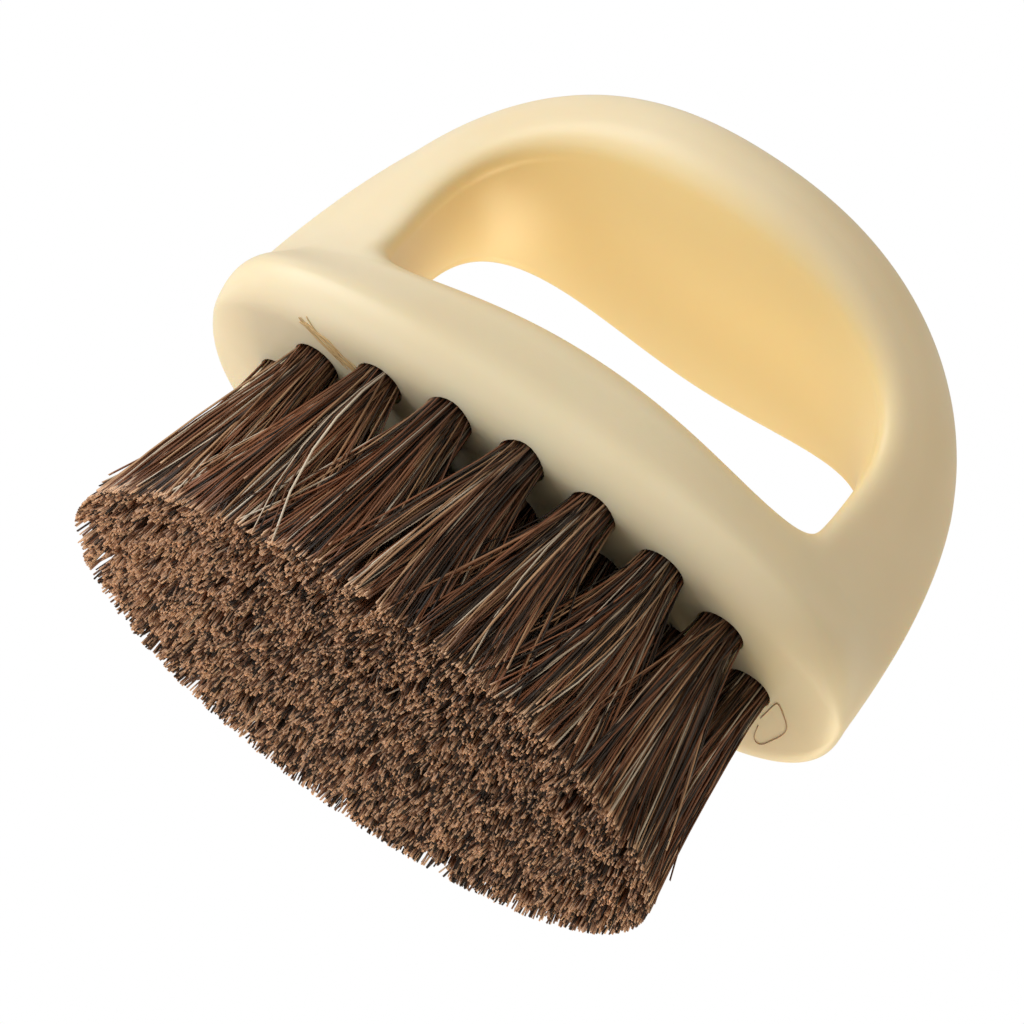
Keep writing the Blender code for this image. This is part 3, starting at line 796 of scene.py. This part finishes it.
@dataclass
class HairField:
    """All the tufts: a rim ring, an inner ring and two in the middle, trimmed to one oval face."""

    head: MouldedHandle
    end_margin: float = 0.0079
    side_margin: float = 0.0037
    ring_spacing: float = 0.0095
    rim_count: int = 16
    inner_count: int = 8
    trim_end_inset: float = 0.0032
    trim_side_spread: float = 0.0026
    end_slack: float = 0.0009
    fitting_passes: int = 6
    hairs: int = 30000
    border_noise: float = 0.0008
    furrow_width: float = 0.0012
    furrow_share: float = 0.35
    stray_share: float = 0.34
    stray_spread: float = 0.0035
    outline_samples: int = 4000
    warmth: float = 0.30
    warmth_step: float = 0.25
    seed: int = 101

    def oval_places(self, half_x: float, half_y: float, count: int) -> np.ndarray:
        """Points spaced evenly round an oval, the first one at its +X end, shape (count, 2)."""
        turns = np.linspace(0.0, 2 * np.pi, self.outline_samples)
        x, y = half_x * np.cos(turns), half_y * np.sin(turns)
        run = np.concatenate([[0.0], np.cumsum(np.hypot(np.diff(x), np.diff(y)))])
        wanted = np.arange(count) / count * run[-1]
        return np.column_stack([np.interp(wanted, run, x), np.interp(wanted, run, y)])

    def roots(self) -> dict[str, tuple[float, float]]:
        """Centre of each tuft's hole by the tuft's name. The middle ones lie midway between inner ones."""
        hole = self.head.tuft_hole_diameter / 2
        rim_x = self.head.head_length / 2 - self.end_margin - hole
        rim_y = self.head.head_width / 2 - self.side_margin - hole
        rim = self.oval_places(rim_x, rim_y, self.rim_count)
        inner = self.oval_places(rim_x - self.ring_spacing, rim_y - self.ring_spacing, self.inner_count)
        side = inner[1 : self.inner_count // 2, 0][::-1]
        centre = np.column_stack([(side[1:] + side[:-1]) / 2, np.zeros(len(side) - 1)])
        groups = {"rim": rim, "inner": inner, "centre": centre}
        return {
            f"{group}_{number:02}": tuple(place)
            for group, places in groups.items()
            for number, place in enumerate(places.tolist(), start=1)
        }

    def trim_half_axes(self) -> np.ndarray:
        """Half the trimmed face's length and width."""
        half_x = self.head.head_length / 2 - self.trim_end_inset
        half_y = self.head.head_width / 2 + self.trim_side_spread
        return np.array([half_x, half_y]) - self.end_slack

    def tips(self, roots: np.ndarray) -> np.ndarray:
        """Centres of the tufts on the trimmed face: the roots' pattern stretched to the face's outline.

        Args:
            roots: The hole centres, shape (tufts, 2).

        Returns:
            Tip centres, shape (tufts, 2).
        """
        reach = 0.0
        for _ in range(self.fitting_passes):
            tips = roots * (self.trim_half_axes() - reach) / roots.max(axis=0)
            gaps = np.hypot(*(tips[:, None] - tips[None]).transpose(2, 0, 1))
            reach = float(gaps[np.triu_indices(len(tips), 1)].min()) / 2
        return tips

    def shared_ends(self, tips: np.ndarray) -> list[np.ndarray]:
        """Hair ends spread evenly over the trimmed face, each given to a tuft.

        An end goes to the tuft with the least distance plus a little noise. Of the ends that lie almost as
        near to another tuft a share is left out, which leaves a faint furrow. A share of the hairs strays.

        Args:
            tips: Tip centres, shape (tufts, 2).

        Returns:
            The ends of each tuft, shape (hairs, 2) each.
        """
        rng = np.random.default_rng(self.seed)
        angle, share = rng.uniform(0.0, 2 * np.pi, self.hairs), np.sqrt(rng.uniform(0.0, 1.0, self.hairs))
        ends = np.stack([np.cos(angle), np.sin(angle)], axis=-1) * share[:, None] * self.trim_half_axes()
        apart = np.hypot(*(ends[:, None] - tips[None]).transpose(2, 0, 1))
        near = np.sort(apart, axis=1)
        furrow = near[:, 1] - near[:, 0] < self.furrow_width
        kept = ~(furrow & (rng.uniform(0.0, 1.0, self.hairs) < self.furrow_share))
        owner = np.argmin(apart + rng.normal(0.0, self.border_noise, apart.shape), axis=1)
        strays = rng.uniform(0.0, 1.0, (self.hairs, 1)) < self.stray_share
        ends = ends + strays * rng.normal(0.0, self.stray_spread, (self.hairs, 2))
        return [ends[kept & (owner == number)] for number in range(len(tips))]

    def build(self, nodes: dict[str, bpy.types.Object]) -> list[bpy.types.Object]:
        """Builds every tuft in the finish of its CAD node.

        Args:
            nodes: The frame's CAD nodes by name.

        Returns:
            The finished pieces.
        """
        roots = self.roots()
        ends = self.shared_ends(self.tips(np.array(list(roots.values()))))
        finishes: dict[str, bpy.types.Material] = {}
        pieces = []
        for number, (name, root) in enumerate(roots.items()):
            slot = nodes[f"tuft_{name}"].material_slots[0].material.name.split(".")[0]
            if slot not in finishes:
                warmth = self.warmth + self.warmth_step * len(finishes)
                finishes[slot] = BrownHair(f"{slot}_finish", warmth).build()
            bundle = HairBundle(name, root, ends[number], self.trim_half_axes(), self.seed + 1 + number)
            pieces.append(bundle.build(finishes[slot], slot))
        return pieces


@dataclass
class LooseHairs:
    """Shed hairs on the underside: a straw-coloured wisp at the front left and a fine loop at the right."""

    slot: str = "brown_hair_1"
    finish: BrownHair = BrownHair("loose_hair_finish", pale=Tint.GOLD)
    wisp: tuple[tuple[float, float], ...] = ((-0.0284, -0.0142), (-0.0252, -0.0134), (-0.0215, -0.0117))
    wisp_hairs: int = 9
    wisp_spread: float = 0.00065
    loop: tuple[tuple[float, float], ...] = (
        (0.0326, 0.0043),
        (0.0341, -0.0012),
        (0.0358, 0.0030),
        (0.0355, 0.0050),
        (0.0331, 0.0101),
        (0.0322, 0.0096),
        (0.0325, 0.0060),
    )
    thickness: float = 0.00014
    steps: int = 48
    rounding: int = 4
    tones: tuple[float, float] = (1.00, 0.90)
    run_value: float = 0.6
    seed: int = 71

    def curve(self, places: np.ndarray) -> np.ndarray:
        """Points at even distances along the straight runs between the places, with the corners rounded."""
        length = np.concatenate([[0.0], np.hypot(*np.diff(places, axis=0).T).cumsum()])
        at = np.linspace(0.0, length[-1], self.steps)
        run = np.stack([np.interp(at, length, values) for values in places.T], axis=-1)
        for _ in range(self.rounding):
            run[1:-1] = (run[:-2] + run[1:-1] + run[2:]) / 3
        return run

    def build(self, handle: bpy.types.Object, below: float) -> bpy.types.Object:
        """Lays the hairs against the head's underside.

        Args:
            handle: The moulding that they lie on.
            below: A height under the moulding, from which its underside is looked for.

        Returns:
            The finished piece.
        """
        rng = np.random.default_rng(self.seed)
        spread = rng.normal(0.0, self.wisp_spread, (self.wisp_hairs, len(self.wisp), 2))
        flat = [self.curve(np.array(self.wisp) + change) for change in spread]
        flat = np.stack([*flat, self.curve(np.array(self.loop))])
        bpy.context.view_layer.update()
        upward = Vector((0.0, 0.0, 1.0))
        places = flat.reshape(-1, 2).tolist()
        hits = [handle.ray_cast(Vector((*place, below)), upward)[1].z for place in places]
        z = np.array(hits).reshape(flat.shape[:2]) - self.thickness / 2
        middles = np.concatenate([flat, z[..., None]], axis=-1)
        run = np.gradient(flat, axis=1)
        run /= np.hypot(run[..., 0], run[..., 1])[..., None]
        across = np.stack([run[..., 1], -run[..., 0], np.zeros(run.shape[:2])], axis=-1)
        radius = np.full(flat.shape[:2], self.thickness / 2)
        turn = rng.uniform(0.0, 2 * np.pi, len(flat))
        mesh = tube_mesh("loose_hairs", middles, across, np.array(upward), radius, turn)
        each = len(mesh.vertices) // len(flat)
        tone = np.repeat(self.tones, (self.wisp_hairs, 1))
        keep_number(mesh, "tone", np.repeat(tone, each))
        keep_number(mesh, "run", np.full(len(mesh.vertices), self.run_value))
        piece = show("loose_hairs", mesh, self.finish.build())
        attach(piece, "root")
        return piece


@dataclass
class WireStaples:
    """The flat wire anchors, which stay as the CAD made them."""

    finish: DrawnSteel = DrawnSteel()

    def dress(self, nodes: dict[str, bpy.types.Object]) -> int:
        """Gives each CAD staple the steel finish and says how many there are."""
        material = self.finish.build()
        staples = [node for name, node in nodes.items() if name.startswith("staple_")]
        for staple in staples:
            staple.material_slots[0].material = material
        return len(staples)


@dataclass(frozen=True)
class PhotoView:
    """The camera at the photograph's viewing angle, low in front of the brush and rolled."""

    azimuth: float = 15.17
    elevation: float = -25.83
    roll: float = 40.28
    distance: float = 0.79556
    focal_pixels: float = 7515.25
    target: tuple[float, float, float] = (-0.00145, 0.0, 0.0296)
    image_size: float = 1024.0
    sensor: float = 36.0
    nearest: float = 0.01
    farthest: float = 20.0

    def axes(self) -> tuple[Vector, Vector, Vector]:
        """Right, up and backward of the picture."""
        azimuth, elevation, roll = (math.radians(v) for v in (self.azimuth, self.elevation, self.roll))
        level = Vector((math.sin(azimuth), -math.cos(azimuth), 0.0))
        back = level * math.cos(elevation) + Vector((0.0, 0.0, math.sin(elevation)))
        right = (-back).cross(Vector((0.0, 0.0, 1.0))).normalized()
        up = right.cross(-back)
        turned = right * math.cos(roll) + up * math.sin(roll)
        return turned, up * math.cos(roll) - right * math.sin(roll), back

    def build(self) -> bpy.types.Object:
        """Places the camera and makes it the scene's own."""
        right, up, back = self.axes()
        lens = bpy.data.cameras.new("photo_view")
        lens.sensor_width = self.sensor
        lens.lens = self.focal_pixels / self.image_size * self.sensor
        lens.clip_start, lens.clip_end = self.nearest, self.farthest
        camera = bpy.data.objects.new("photo_view", lens)
        bpy.context.scene.collection.objects.link(camera)
        place = Matrix((right, up, back)).transposed().to_4x4()
        place.translation = Vector(self.target) + back * self.distance
        camera.matrix_world = place
        bpy.context.scene.camera = camera
        return camera


@dataclass(frozen=True)
class Softbox:
    """A square studio light, placed by its direction in the picture."""

    name: str
    right: float
    up: float
    back: float
    power: float
    size: float = 0.6
    distance: float = 0.8
    colour: tuple[float, float, float] = (1.0, 1.0, 1.0)

    def build(self, view: PhotoView) -> bpy.types.Object:
        """Hangs the light and turns it to the brush."""
        axes = view.axes()
        way = (axes[0] * self.right + axes[1] * self.up + axes[2] * self.back).normalized()
        light = bpy.data.lights.new(self.name, "AREA")
        light.energy, light.size, light.color = self.power, self.size, self.colour
        lamp = bpy.data.objects.new(self.name, light)
        bpy.context.scene.collection.objects.link(lamp)
        lamp.location = Vector(view.target) + way * self.distance
        lamp.rotation_euler = way.to_track_quat("Z", "Y").to_euler()
        return lamp


@dataclass
class Studio:
    """Pale floor, white surroundings and soft lights."""

    view: PhotoView
    floor_half: float = 6.0
    sky_light: float = 0.58
    sky_colour: tuple[float, float, float] = (1.0, 0.94, 0.82)
    lights: tuple[Softbox, ...] = (
        Softbox("key_light", -0.9, 0.6, 0.45, 4.3, colour=(0.95, 1.0, 1.05)),
        Softbox("low_light", -0.85, -0.5, 0.25, 1.6, colour=(0.97, 1.0, 1.03)),
        Softbox("rim_light", 0.0, 0.8, -0.7, 0.4),
        Softbox("loop_light", 0.07, -0.91, -0.45, 4.7, colour=(1.0, 0.87, 0.60)),
    )

    def surroundings(self) -> None:
        """White seen straight from the camera, and a softer even light on the brush."""
        world = bpy.data.worlds.new("white_room")
        world.use_nodes = True
        tree = world.node_tree
        tree.nodes.clear()
        output = tree.nodes.new("ShaderNodeOutputWorld")
        seen, lit = (tree.nodes.new("ShaderNodeBackground") for _ in range(2))
        seen.inputs["Strength"].default_value = 1.0
        lit.inputs["Strength"].default_value = self.sky_light
        seen.inputs["Color"].default_value = (1.0, 1.0, 1.0, 1.0)
        lit.inputs["Color"].default_value = (*self.sky_colour, 1.0)
        path, mix = tree.nodes.new("ShaderNodeLightPath"), tree.nodes.new("ShaderNodeMixShader")
        tree.links.new(path.outputs["Is Camera Ray"], mix.inputs[0])
        tree.links.new(lit.outputs[0], mix.inputs[1])
        tree.links.new(seen.outputs[0], mix.inputs[2])
        tree.links.new(mix.outputs[0], output.inputs["Surface"])
        bpy.context.scene.world = world

    def build(self) -> bpy.types.Object:
        """Lays the floor, hangs the lights and sets the plain look of the picture."""
        half = self.floor_half
        corners = np.array([(-half, -half, 0.0), (half, -half, 0.0), (half, half, 0.0), (-half, half, 0.0)])
        sheet = mesh_from("floor", corners, np.arange(len(corners))[None])
        floor = show("floor", sheet, PaleFloor().build())
        floor.visible_shadow = False
        for light in self.lights:
            light.build(self.view)
        self.surroundings()
        bpy.context.scene.view_settings.view_transform = "Standard"
        return floor


def main() -> None:
    """Builds the brush on its frame, then the studio around it."""
    logging.basicConfig(level=logging.INFO, format="%(name)s: %(message)s")
    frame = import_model()
    view = PhotoView()
    view.build()
    head = MouldedHandle()
    hair = HairField(head)
    handle = head.build(CreamPlastic(), list(hair.roots().values()))
    log.info("%s: %d faces", handle.name, len(handle.data.polygons))
    tufts = hair.build(frame["nodes"])
    log.info("%d tufts: %d faces", len(tufts), sum(len(tuft.data.polygons) for tuft in tufts))
    loose = LooseHairs().build(handle, head.underside / 2)
    log.info("%s: %d faces", loose.name, len(loose.data.polygons))
    log.info("%d staples in drawn steel", WireStaples().dress(frame["nodes"]))
    Studio(view).build()


if __name__ == "__main__":
    main()
